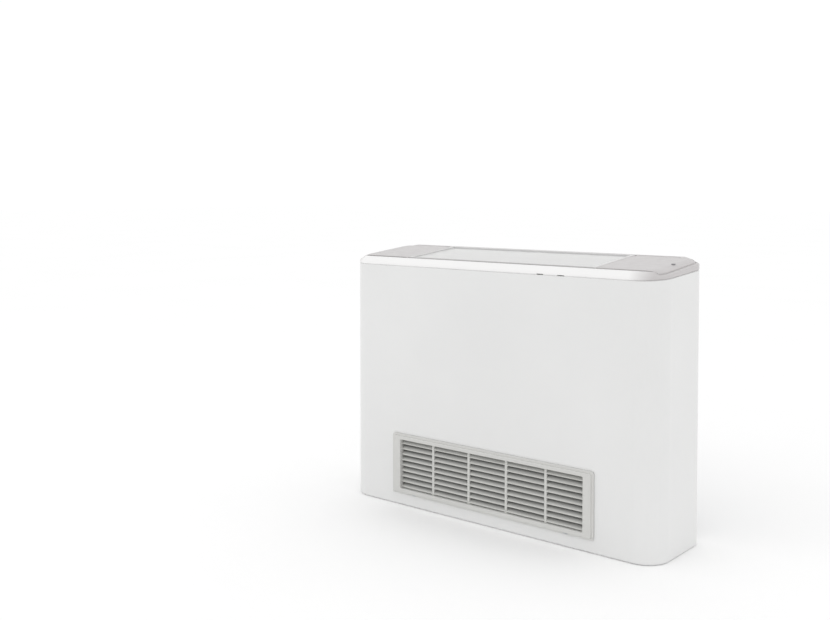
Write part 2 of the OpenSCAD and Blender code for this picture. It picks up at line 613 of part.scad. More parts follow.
// Lead from the motor to the terminal box: a bent round cable through a list of corners
lead_pts = [[-20, fy - motor_r - 3.2, fz], [-20, -73, fz], [-238, -73, fz], [-238, -72, 235], [-302, -72, 235], [-302, -66, 310], [-302, -30, 334], [-302, -30, 380]];
function unit(v) = v/norm(v);
function corner(a, b, c, r) = let (u = unit(a - b), v = unit(c - b)) [for (k = [0:5]) let (t = k/5) (1 - t)*(1 - t)*(b + u*r) + 2*t*(1 - t)*b + t*t*(b + v*r)];
function route(p, r) = concat([p[0]], [for (i = [1:len(p) - 2]) each corner(p[i - 1], p[i], p[i + 1], r)], [p[len(p) - 1]]);
function tangents(q) = [for (i = [0:len(q) - 1]) unit(q[min(i + 1, len(q) - 1)] - q[max(i - 1, 0)])];
function carry(t, i, n) = i == 0 ? n : let (m = carry(t, i - 1, n)) unit(m - t[i]*(m*t[i]));
module motor_lead() color(black) {
  q = route(lead_pts, 14); t = tangents(q); n = 10; r = 3;
  pts = [for (i = [0:len(q) - 1]) let (a = carry(t, i, [0, 0, 1]), b = cross(t[i], a)) each [for (k = [0:n - 1]) q[i] + r*cos(360*k/n)*a + r*sin(360*k/n)*b]];
  polyhedron(pts, concat(
    [[for (k = [0:n - 1]) n - 1 - k]],
    [for (i = [0:len(q) - 2], k = [0:n - 1]) [i*n + k, i*n + (k + 1)%n, (i + 1)*n + (k + 1)%n, (i + 1)*n + k]],
    [[for (k = [0:n - 1]) (len(q) - 1)*n + k]]));
}

front_casing();
casing_screws();
top_cover();
outlet_grille();
left_lid();
right_lid();
left_lid_pin();
right_lid_pin();
right_lid_lock();
intake_grille();
grille_hinge_pins();
grille_hinge_lugs();
grille_clips();
filter_frame();
filter_mesh();
left_end_plate();
right_end_plate();
back_plate();
upper_front_plate();
lower_front_plate();
bottom_plate();
fan_deck();
chassis_screws();
front_insulation();
back_insulation();
left_blower_housing();
right_blower_housing();
left_blower_wheel();
right_blower_wheel();
motor_shaft();
motor_body();
motor_bearings();
motor_cushions();
motor_bracket();
fan_screws();
coil_fins();
coil_tubes();
coil_end_plates();
supply_header();
return_header();
supply_socket();
return_socket();
air_vent_body();
bleed_screw();
pipe_grommets();
pan_insulation();
drain_pan();
drain_spigot();
terminal_box();
terminal_box_cover();
box_screws();
terminal_block();
motor_capacitor();
cable_gland();
motor_lead();
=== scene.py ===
import bpy, bmesh, json, math
from mathutils import Vector, Matrix


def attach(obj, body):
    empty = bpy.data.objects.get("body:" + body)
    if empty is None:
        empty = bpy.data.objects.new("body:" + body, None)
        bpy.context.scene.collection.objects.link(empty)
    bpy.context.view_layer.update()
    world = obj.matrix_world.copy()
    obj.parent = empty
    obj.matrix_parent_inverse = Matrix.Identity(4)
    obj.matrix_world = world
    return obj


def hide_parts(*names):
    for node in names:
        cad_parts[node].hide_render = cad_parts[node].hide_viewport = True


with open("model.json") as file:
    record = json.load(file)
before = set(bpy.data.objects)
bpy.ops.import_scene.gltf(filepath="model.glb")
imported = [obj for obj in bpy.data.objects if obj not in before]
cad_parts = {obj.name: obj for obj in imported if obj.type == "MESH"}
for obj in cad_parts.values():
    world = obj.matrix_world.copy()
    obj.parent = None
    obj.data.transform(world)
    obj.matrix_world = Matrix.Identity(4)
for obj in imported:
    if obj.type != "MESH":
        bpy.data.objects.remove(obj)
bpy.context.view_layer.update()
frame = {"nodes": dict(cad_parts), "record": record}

scene = bpy.context.scene
MM = 0.001

# ---------------------------------------------------------------- dimensions, as in the CAD model (millimetres)
XH, YF, YB, YG = 400.0, -104.0, 110.0, -110.0
ZF, FP = 567.5, 551.2
R1, R2 = 54.0, 47.0
TA, TB = math.atan(21.5 / 214), math.atan(14.5 / 214)
HY, HW, LX0, EAR = 86.0, -3.2, 249.0, 352.0
CA = math.radians(21.8)


def seam(y):
    """Height of the casing's sloping upper edge."""
    return FP + (y - YF) * math.tan(TB)


def top(y, w):
    """Height of the plane that lies w above the sloping top."""
    return ZF + (y - YF) * math.tan(TA) + w / math.cos(TA)


def tl(x, y, w):
    """Point given in the sloping top's own frame."""
    return (x, YF + (y - YF) * math.cos(TA) - w * math.sin(TA), ZF + (y - YF) * math.sin(TA) + w * math.cos(TA))


def coil(x, y, z):
    """Point given in the leaning coil's own frame."""
    s, c = math.sin(CA), math.cos(CA)
    return (x, 6 + y * c + z * s, 419 - y * s + z * c)


def arc(cx, cy, r, a0, a1, n):
    """n + 1 points of an arc, angles in degrees."""
    return [(cx + r * math.cos(math.radians(a0 + (a1 - a0) * k / n)), cy + r * math.sin(math.radians(a0 + (a1 - a0) * k / n))) for k in range(n + 1)]


def from_edge(x, y):
    """Distance inwards from the plan outline and the direction to it, in degrees from the end's own direction."""
    x = abs(x)
    if y < YF + R1 and x > XH - R1:
        u, v, r = x - (XH - R1), YF + R1 - y, R1
    elif y > YB - R2 and x > XH - R2:
        u, v, r = x - (XH - R2), y - (YB - R2), R2
    else:
        d = min(XH - x, y - YF, YB - y)
        return d, 0.0 if d == XH - x else 90.0
    return r - math.hypot(u, v), math.degrees(math.atan2(v, u))


def droop(x, y):
    """How far the top's ends round down, at a point of the plan."""
    d, turn = from_edge(x, y)
    k = 25.5 - max(d, 8.0)
    if k <= 0:
        return 0.0
    t = min(1.0, max(0.0, (turn - 50) / 40))
    return -(32 - math.sqrt(1024 - k * k)) * (1 - t) ** 2 * (1 + 2 * t)


YS = 81.9  # where the ledge ends and the rear rim starts
YQ = -76.6  # where the front band ends and the ledge starts
NOTCH = [123.9, 124.1, 139.9, 140.1, 173.9, 174.1, 189.9, 190.1]


def plan(i, front_x=()):
    """Closed plan outline of the cabinet moved inwards by i, counter-clockwise from the front's left end. Gives the points and the indices of the right and left points at y = YQ and at y = YS."""
    p = [(-(XH - R1), YF + i)] + [(x, YF + i) for x in front_x]
    q = math.degrees(math.asin(min(1, (YF + R1 - YQ) / (R1 - i))))
    p += arc(XH - R1, YF + R1, R1 - i, -90, -q, 12)
    qr = len(p) - 1
    p += arc(XH - R1, YF + R1, R1 - i, -q, 0, 10)[1:]
    t = math.degrees(math.asin(min(1, (YS - (YB - R2)) / (R2 - i))))
    p += arc(XH - R2, YB - R2, R2 - i, 0, t, 10)
    jr = len(p) - 1
    p += arc(XH - R2, YB - R2, R2 - i, t, 90, 10)[1:]
    p += arc(-(XH - R2), YB - R2, R2 - i, 90, 180 - t, 10)
    jl = len(p) - 1
    p += arc(-(XH - R2), YB - R2, R2 - i, 180 - t, 180, 10)[1:]
    p += arc(-(XH - R1), YF + R1, R1 - i, 180, 180 + q, 10)
    ql = len(p) - 1
    p += arc(-(XH - R1), YF + R1, R1 - i, 180 + q, 270, 12)[1:-1]
    return p, qr, jr, jl, ql


# ---------------------------------------------------------------- mesh helpers
class Geo:
    """Collects closed shells, in millimetres, into one mesh."""

    def __init__(self):
        self.bm = bmesh.new()

    def verts(self, pts):
        return [self.bm.verts.new(Vector(p) * MM) for p in pts]

    def face(self, vs):
        out = []
        for v in vs:
            if v not in out:
                out.append(v)
        if len(out) > 2 and self.bm.faces.get(out) is None:
            return self.bm.faces.new(out)

    def bridge(self, a, b, closed=True):
        n = len(a)
        for i in range(n if closed else n - 1):
            self.face([a[i], a[(i + 1) % n], b[(i + 1) % n], b[i]])

    def loft(self, rings, closed=True, caps=True, loop=False):
        r = [self.verts(q) for q in rings]
        for a, b in zip(r, r[1:]):
            self.bridge(a, b, closed)
        if loop:
            self.bridge(r[-1], r[0], closed)
        elif caps:
            self.face(list(reversed(r[0])))
            self.face(r[-1])
        return r

    def edges(self, loop, closed=True):
        n = len(loop)
        out = []
        for i in range(n if closed else n - 1):
            pair = (loop[i], loop[(i + 1) % n])
            out.append(self.bm.edges.get(pair) or self.bm.edges.new(pair))
        return out

    def fill(self, loops, normal=(0, 0, 1)):
        e = [x for l in loops for x in self.edges(l)]
        bmesh.ops.triangle_fill(self.bm, use_beauty=True, use_dissolve=False, edges=e, normal=normal)

    def box(self, lo, hi, at=lambda x, y, z: (x, y, z), bevel=0.0, seg=2):
        c = [self.bm.verts.new(Vector(at(x, y, z)) * MM) for x in (lo[0], hi[0]) for y in (lo[1], hi[1]) for z in (lo[2], hi[2])]
        for q in ((0, 1, 3, 2), (4, 6, 7, 5), (0, 4, 5, 1), (2, 3, 7, 6), (0, 2, 6, 4), (1, 5, 7, 3)):
            self.bm.faces.new([c[k] for k in q])
        if bevel:
            es = {e for v in c for e in v.link_edges}
            bmesh.ops.bevel(self.bm, geom=list(es), offset=bevel * MM, segments=seg, profile=0.5, affect="EDGES", clamp_overlap=True)

    def rod(self, prof, x0, x1, at, ease=0.0):
        """Section prof, in the plane across X, run from x0 to x1, with slightly rounded ends."""
        n = len(prof)
        my, mz = sum(p[0] for p in prof) / n, sum(p[1] for p in prof) / n

        def ring(x, k):
            return [at(x, my + (p[0] - my) * k, mz + (p[1] - mz) * k) for p in prof]

        rings = [ring(x0, 1), ring(x1, 1)] if not ease else [ring(x0, 1 - ease), ring(x0 + ease, 1), ring(x1 - ease, 1), ring(x1, 1 - ease)]
        self.loft(rings)

    def slab(self, outline, holes, w0, w1, at=tl, bevel=0.4):
        """Plate with an outline and holes, both counter-clockwise, and a rounded upper edge."""
        levels = [(0.0, w0)]
        if bevel:
            levels += [(bevel * (1 - math.cos(a)), w1 - bevel + bevel * math.sin(a)) for a in (0, math.pi / 6, math.pi / 3, math.pi / 2)]
        else:
            levels += [(0.0, w1)]
        bottom, upper = [], []
        for k, poly in enumerate([outline] + list(holes)):
            rings = [self.verts([at(x, y, w) for x, y in inset(poly, d if k == 0 else -d)]) for d, w in levels]
            for a, b in zip(rings, rings[1:]):
                self.bridge(a, b)
            bottom.append(rings[0])
            upper.append(rings[-1])
        self.fill(bottom)
        self.fill(upper)

    def object(self, name, material, body, slot, nodes=(), angle=35, weighted=True):
        bm = self.bm
        bmesh.ops.recalc_face_normals(bm, faces=bm.faces[:])
        me = bpy.data.meshes.new(name)
        bm.to_mesh(me)
        bm.free()
        me.polygons.foreach_set("use_smooth", [True] * len(me.polygons))
        me.set_sharp_from_angle(angle=math.radians(angle))
        me.materials.append(material)
        o = bpy.data.objects.new(name, me)
        scene.collection.objects.link(o)
        if weighted:
            m = o.modifiers.new("normals", "WEIGHTED_NORMAL")
            m.keep_sharp = True
        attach(o, body)
        if nodes:
            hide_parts(*nodes)
        return o


def inset(poly, d):
    """Closed counter-clockwise outline moved inwards by d."""
    if not d:
        return list(poly)
    out, n = [], len(poly)
    for i in range(n):
        a, b, c = Vector(poly[i - 1]), Vector(poly[i]), Vector(poly[(i + 1) % n])
        u, v = (b - a).normalized(), (c - b).normalized()
        nu, nv = Vector((-u.y, u.x)), Vector((-v.y, v.x))
        m = nu + nv
        k = m.length_squared
        m = m * (2 / k) if k > 0.2 else nu
        p = b + m * d
        out.append((p.x, p.y))
    return out


def rrect(hx, z0, z1, r, y, n=7):
    """Rounded rectangle facing the front."""
    p = arc(hx - r, z0 + r, r, -90, 0, n) + arc(hx - r, z1 - r, r, 0, 90, n) + arc(-hx + r, z1 - r, r, 90, 180, n) + arc(-hx + r, z0 + r, r, 180, 270, n)
    return [(x, y, z) for x, z in p]


def pill(h0, h1, t, r, n=4):
    """Section of a strip from h0 to h1, t thick, with rounded ends."""
    p = arc(h1 - r, t / 2 - r, r, 0, 90, n) + arc(h0 + r, t / 2 - r, r, 90, 180, n) + arc(h0 + r, -t / 2 + r, r, 180, 270, n) + arc(h1 - r, -t / 2 + r, r, 270, 360, n)
    return p


# ---------------------------------------------------------------- materials
class Mat:
    """A node material on object coordinates, in metres."""

    def __init__(self, name):
        self.m = bpy.data.materials.new(name)
        self.m.use_nodes = True
        self.t = self.m.node_tree
        self.b = next(n for n in self.t.nodes if n.type == "BSDF_PRINCIPLED")
        self.co = self.new("ShaderNodeTexCoord").outputs["Object"]

    def new(self, kind, **kw):
        n = self.t.nodes.new(kind)
        for k, v in kw.items():
            setattr(n, k, v)
        return n

    def link(self, a, b):
        self.t.links.new(a, b)

    def set(self, **kw):
        for k, v in kw.items():
            self.b.inputs[k.replace("_", " ")].default_value = v
        return self

    def stretch(self, x, y, z):
        n = self.new("ShaderNodeMapping")
        n.inputs["Scale"].default_value = (x, y, z)
        self.link(self.co, n.inputs["Vector"])
        return n.outputs["Vector"]

    def noise(self, scale, detail=3.0, rough=0.5, co=None):
        n = self.new("ShaderNodeTexNoise")
        n.inputs["Scale"].default_value = scale
        n.inputs["Detail"].default_value = detail
        n.inputs["Roughness"].default_value = rough
        self.link(co or self.co, n.inputs["Vector"])
        return n.outputs["Fac"]

    def cells(self, scale, out="Color", feature="F1", rand=1.0):
        n = self.new("ShaderNodeTexVoronoi", feature=feature)
        n.inputs["Scale"].default_value = scale
        n.inputs["Randomness"].default_value = rand
        self.link(self.co, n.inputs["Vector"])
        return n.outputs[out]

    def ramp(self, fac, stops):
        n = self.new("ShaderNodeValToRGB")
        e = n.color_ramp.elements
        while len(e) < len(stops):
            e.new(0.5)
        for k, (p, c) in enumerate(stops):
            e[k].position = p
            e[k].color = (c[0], c[1], c[2], 1)
        self.link(fac, n.inputs["Fac"])
        return n.outputs["Color"]

    def span(self, fac, lo, hi, a=0.3, b=0.7):
        n = self.new("ShaderNodeMapRange")
        n.inputs["From Min"].default_value = a
        n.inputs["From Max"].default_value = b
        n.inputs["To Min"].default_value = lo
        n.inputs["To Max"].default_value = hi
        self.link(fac, n.inputs["Value"])
        return n.outputs["Result"]

    def mix(self, fac, a, b):
        n = self.new("ShaderNodeMix", data_type="RGBA")
        self.link(fac, n.inputs["Factor"])
        ins = [i for i in n.inputs if i.type == "RGBA"]
        for v, s in ((a, ins[0]), (b, ins[1])):
            if isinstance(v, tuple):
                s.default_value = (v[0], v[1], v[2], 1)
            else:
                self.link(v, s)
        return next(o for o in n.outputs if o.type == "RGBA")

    def edge(self, radius, lo=0.02, hi=0.25):
        """How near a sharp edge a point is, from 0 to 1."""
        bv = self.new("ShaderNodeBevel", samples=4)
        bv.inputs["Radius"].default_value = radius
        g = self.new("ShaderNodeNewGeometry")
        d = self.new("ShaderNodeVectorMath", operation="DISTANCE")
        self.link(bv.outputs["Normal"], d.inputs[0])
        self.link(g.outputs["Normal"], d.inputs[1])
        return self.span(d.outputs["Value"], 0.0, 1.0, lo, hi)

    def plane(self, normal, offset, lo, hi):
        """0 to 1 as the height of a point over a plane goes from lo to hi, in metres."""
        n = self.new("ShaderNodeVectorMath", operation="DOT_PRODUCT")
        self.link(self.co, n.inputs[0])
        n.inputs[1].default_value = normal
        return self.span(n.outputs["Value"], 0.0, 1.0, offset + lo, offset + hi)

    def colour(self, c):
        self.link(c, self.b.inputs["Base Color"])
        return self

    def rough(self, r):
        self.link(r, self.b.inputs["Roughness"])
        return self

    def bump(self, *layers):
        last = None
        for h, strength, dist in layers:
            n = self.new("ShaderNodeBump")
            n.inputs["Strength"].default_value = strength
            n.inputs["Distance"].default_value = dist
            self.link(h, n.inputs["Height"])
            if last:
                self.link(last, n.inputs["Normal"])
            last = n.outputs["Normal"]
        self.link(last, self.b.inputs["Normal"])
        return self


def tint(c, k):
    return tuple(min(1, v * k) for v in c)


def paint(name, c, rough=0.34, peel=0.10):
    """Powder coat: orange peel, faint clouding, a little handling dirt."""
    m = Mat(name)
    big = m.noise(3.2, 3, 0.55)
    base = m.ramp(big, [(0.3, tint(c, 0.975)), (0.7, tint(c, 1.012))])
    speck = m.noise(420, 2, 0.6)
    base = m.mix(m.span(speck, 0, 0.16, 0.66, 0.8), base, tint(c, 0.80))
    base = m.mix(m.edge(0.0022, 0.10, 0.6), base, tint(c, 1.03))
    m.colour(base)
    m.rough(m.span(m.noise(26, 4, 0.6), rough - 0.05, rough + 0.07))
    m.bump((m.noise(6, 2, 0.5), 0.05, 0.004), (m.noise(640, 2, 0.5), peel, 0.0006))
    m.set(Specular_IOR_Level=0.5, Coat_Weight=0.12, Coat_Roughness=0.18)
    return m.m


def plastic(name, c, rough=0.42, grain=900, depth=0.10, var=0.03, streak=None, dust=None, wear=1.05, painted_light_zones=None):
    """Moulded plastic: fine spark-eroded grain, flow clouding, paler edges, and bands of painted light and shade laid
    over it along planes.
    """
    m = Mat(name)
    f = m.noise(5.5, 4, 0.6, m.stretch(*streak) if streak else None)
    base = m.ramp(f, [(0.3, tint(c, 1 - var)), (0.7, tint(c, 1 + var))])
    if dust:
        base = m.mix(m.span(m.noise(38, 6, 0.65), 0, 0.3, 0.52, 0.78), base, dust)
    base = m.mix(m.edge(0.0012, 0.08, 0.55), base, tint(c, wear))
    # painted light and shade: each band mixes another tone in over a plane
    for other, pl in painted_light_zones or []:
        base = m.mix(m.plane(*pl), base, other)
    m.colour(base)
    m.rough(m.span(m.noise(60, 3, 0.6), rough - 0.06, rough + 0.08))
    m.bump((m.noise(grain, 2, 0.55), depth, 0.0005), (m.noise(14, 2, 0.5), 0.04, 0.002))
    m.set(Specular_IOR_Level=0.45)
    return m.m


def zinc(name):
    """Galvanised sheet: spangle crystals, white-rust clouds, bright cut edges."""
    m = Mat(name)
    cell = m.cells(85)
    bw = m.new("ShaderNodeRGBToBW")
    m.link(cell, bw.inputs["Color"])
    base = m.ramp(bw.outputs["Val"], [(0.2, (0.44, 0.46, 0.47)), (0.5, (0.50, 0.52, 0.53)), (0.8, (0.56, 0.58, 0.59))])
    base = m.mix(m.span(m.noise(9, 5, 0.65), 0, 0.5, 0.5, 0.75), base, (0.58, 0.59, 0.58))
    base = m.mix(m.edge(0.0012, 0.1, 0.6), base, (0.72, 0.73, 0.74))
    m.colour(base)
    m.rough(m.span(bw.outputs["Val"], 0.30, 0.50, 0.2, 0.8))
    m.bump((m.noise(220, 3, 0.6), 0.08, 0.0006), (m.noise(7, 2, 0.5), 0.08, 0.004))
    m.set(Metallic=0.9)
    return m.m


def metal(name, c, dark, rough=0.3, scale=40, brush=None, fine=500, cover=(0.5, 0.8), wear=None):
    """Bare metal with tarnish, a drawn or machined grain and bright edges."""
    m = Mat(name)
    base = m.mix(m.span(m.noise(scale, 5, 0.65), 0, 0.85, *cover), c, dark)
    base = m.mix(m.edge(0.0010, 0.1, 0.6), base, wear or tint(c, 1.2))
    m.colour(base)
    m.rough(m.span(m.noise(scale * 2, 4, 0.6), rough - 0.08, rough + 0.16))
    m.bump((m.noise(fine, 2, 0.5, m.stretch(*brush) if brush else None), 0.12, 0.0003))
    m.set(Metallic=1.0)
    return m.m


def rubber(name, c, rough=0.7):
    m = Mat(name)
    base = m.mix(m.span(m.noise(55, 5, 0.7), 0, 0.5, 0.5, 0.8), tint(c, 1.0), tint(c, 1.9))
    m.colour(base)
    m.rough(m.span(m.noise(90, 3, 0.6), rough - 0.1, rough + 0.1))
    m.bump((m.noise(1100, 2, 0.5), 0.2, 0.0004))
    m.set(Specular_IOR_Level=0.35)
    return m.m


def foamy(name, c):
    """Closed-cell foam: open pits over a soft skin."""
    m = Mat(name)
    pits = m.cells(420, "Distance")
    # darkest at the pit centres, as painted shade in the open cells, and paler where the pits lie farthest apart
    base = m.ramp(pits, [(0.05, tint(c, 0.55)), (0.35, c), (0.8, tint(c, 1.5))])
    base = m.mix(m.span(m.noise(18, 4, 0.6), 0, 0.4, 0.5, 0.8), base, tint(c, 1.7))
    m.colour(base)
    m.rough(m.span(m.noise(70, 3, 0.6), 0.85, 0.98))
    m.bump((pits, 0.5, 0.0012), (m.noise(30, 3, 0.6), 0.2, 0.002))
    m.set(Specular_IOR_Level=0.2)
    return m.m


TOP_N, TOP_D = (0, -math.sin(TA), math.cos(TA)), (ZF * math.cos(TA) - YF * math.sin(TA)) * MM
WHITE = (0.755, 0.756, 0.752)
CAP = (0.54, 0.521, 0.521)
# the outlet vanes' tone, raised above the moulding's own as a painted highlight against their shade
OUTLET_PAINTED_HIGHLIGHT = (0.84, 0.84, 0.835)
GRILLE = (0.605, 0.603, 0.585)

MATS = {
    "casing_paint": paint("casing_paint", WHITE),
    # lids: CAP is their own tone; in front of y = -70 mm the first band darkens them to 0.86 of CAP, full by y = -74.5
    # mm, as a painted shadow line behind the front lip; the second band puts plain CAP back for x > 10 mm, so the right
    # lid has no painted shadow line
    "cap_plastic": plastic("cap_plastic", CAP, 0.36, 1200, 0.06, 0.012, None, None, 1.02,
                           [(tint(CAP, 0.86), ((0, -1, 0), 0, 0.0700, 0.0745)), (CAP, ((1, 0, 0), 0, 0.0, 0.010))]),
    # outlet moulding: its vanes carry a paler tone than the moulding's own, as a painted highlight that lifts them out
    # of their shade; the frame's upper face, higher than 2.8 mm below the top, is painted darker (0.69) as painted
    # shade to match the vanes; the front border, in front of y = -71.2 mm, is darker again (0.50), as a painted shadow
    # line
    "outlet_painted_light": plastic("outlet_painted_light", OUTLET_PAINTED_HIGHLIGHT, 0.40, 1200, 0.06, 0.02, (0.6, 9.0, 9.0), None, 1.03,
                              [((0.69, 0.685, 0.682), (TOP_N, TOP_D, -0.0031, -0.0028)), ((0.50, 0.49, 0.49), ((0, -1, 0), 0, 0.0712, 0.0742))]),
    # top cover moulding, one plastic: the front lip is painted near white as a painted highlight where it faces the
    # light; past x = 380 mm on the right (from 335 mm), past x = -395 mm on the left (from -365 mm), and behind y =
    # -76.2 mm it takes the lids' CAP tone, and the right end turns sooner as painted shade
    "lip_painted_highlight": plastic("lip_painted_highlight", (0.87, 0.865, 0.862), 0.34, 1200, 0.05, 0.01, None, None, 1.02,
                           [(CAP, ((1, 0, 0), 0, 0.335, 0.380)), (CAP, ((-1, 0, 0), 0, 0.365, 0.395)), (CAP, ((0, 1, 0), 0, -0.0772, -0.0762))]),
    # intake grille: behind y = -103.6 mm the moulding takes a slightly greyer tone, and from y = -102.2 mm it darkens
    # to near black by y = -93 mm, as painted shade deep between the slats and mullions
    "grille_plastic": plastic("grille_plastic", GRILLE, 0.46, 800, 0.12, 0.03, None, (0.56, 0.553, 0.53), 1.04,
                              [((0.60, 0.60, 0.578), ((0, 1, 0), 0, -0.1046, -0.1036)), ((0.15, 0.15, 0.145), ((0, 1, 0), 0, -0.1022, -0.0930))]),
    "zinc_sheet": zinc("zinc_sheet"),
    "fastener_steel": metal("fastener_steel", (0.56, 0.56, 0.57), (0.33, 0.32, 0.31), 0.28, 120, None, 900),
    "lock_steel": metal("lock_steel", (0.27, 0.27, 0.28), (0.16, 0.155, 0.15), 0.34, 200, None, 900),
    "dark_plastic": plastic("dark_plastic", (0.055, 0.057, 0.062), 0.5, 700, 0.14, 0.10, None, (0.12, 0.118, 0.112), 1.9),
    "filter_net": plastic("filter_net", (0.052, 0.056, 0.062), 0.6, 1600, 0.2, 0.12, None, (0.15, 0.145, 0.135), 1.3),
    "foam": foamy("foam", (0.045, 0.045, 0.048)),
    "motor_paint": plastic("motor_paint", (0.060, 0.066, 0.072), 0.42, 500, 0.2, 0.08, None, (0.13, 0.125, 0.115), 2.2),
    "black_rubber": rubber("black_rubber", (0.022, 0.022, 0.023)),
    "fin_aluminium": metal("fin_aluminium", (0.74, 0.75, 0.76), (0.50, 0.50, 0.49), 0.32, 30, (1, 1, 30), 300, (0.5, 0.85), (0.86, 0.87, 0.88)),
    "copper": metal("copper", (0.72, 0.38, 0.24), (0.36, 0.19, 0.12), 0.28, 34, (14, 1, 1), 260, (0.42, 0.8)),
    "brass": metal("brass", (0.74, 0.56, 0.26), (0.42, 0.31, 0.14), 0.26, 46, None, 700, (0.45, 0.82)),
}

# ---------------------------------------------------------------- front casing: one bent sheet
GRID_X = [-255, -205.5, -194.5, -60, 60, 194.5, 205.5, 255]


def casing():
    def path(d):
        p = plan(d, GRID_X)[0]
        k = max(range(len(p)), key=lambda i: (p[i][1] > YB - d - 0.01, -p[i][0]))  # left end of the rear edge
        q = p[k:] + p[:k]
        return [(-350.0, YB - d)] + q + [(350.0, YB - d)]

    prof = [(15.0, 0.0)]
    prof += [(4 * (1 - math.sin(a * math.pi / 14)), 4 * (1 - math.cos(a * math.pi / 14))) for a in range(8)]
    prof += [(0.0, z) for z in (26.6, 32.0, 34.0, 100.0, 162.0, 240.0, 400.0, 520.0)]
    upper = [(2.6 * (1 - math.cos(a * math.pi / 10)), 2.6 * (math.sin(a * math.pi / 10) - 1)) for a in range(6)] + [(14.0, 0.0), (26.0, 0.0)]
    g = Geo()
    rows, zs = [], []
    for d, z in prof:
        rows.append(g.verts([(x, y, z) for x, y in path(d)]))
        zs.append(z)
    for d, w in upper:
        rows.append(g.verts([(x, y, seam(y) + w) for x, y in path(d)]))
        zs.append(600.0)
    for k in range(len(rows) - 1):
        a, b = rows[k], rows[k + 1]
        for j in range(len(a) - 1):
            mx = (a[j].co.x + a[j + 1].co.x) / 2 / MM
            mz = (zs[k] + zs[k + 1]) / 2
            front = abs(a[j].co.y / MM - YF) < 0.01 and abs(a[j + 1].co.y / MM - YF) < 0.01
            if front and abs(mx) < 255 and 34 < mz < 162:
                continue
            if front and 194.5 < abs(mx) < 205.5 and 26.6 < mz < 32:
                continue
            g.face([a[j], a[j + 1], b[j + 1], b[j]])
    bm = g.bm
    me = bpy.data.meshes.new("casing_sheet")
    bm.to_mesh(me)
    bm.free()
    me.polygons.foreach_set("use_smooth", [True] * len(me.polygons))
    me.set_sharp_from_angle(angle=math.radians(40))
    me.materials.append(MATS["casing_paint"])
    o = bpy.data.objects.new("casing_sheet", me)
    scene.collection.objects.link(o)
    s = o.modifiers.new("sheet", "SOLIDIFY")
    s.thickness = 1.2 * MM
    s.offset = -1
    s.use_even_offset = True
    o.modifiers.new("normals", "WEIGHTED_NORMAL").keep_sharp = True
    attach(o, "cabinet")
    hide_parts("front_casing")
    return o


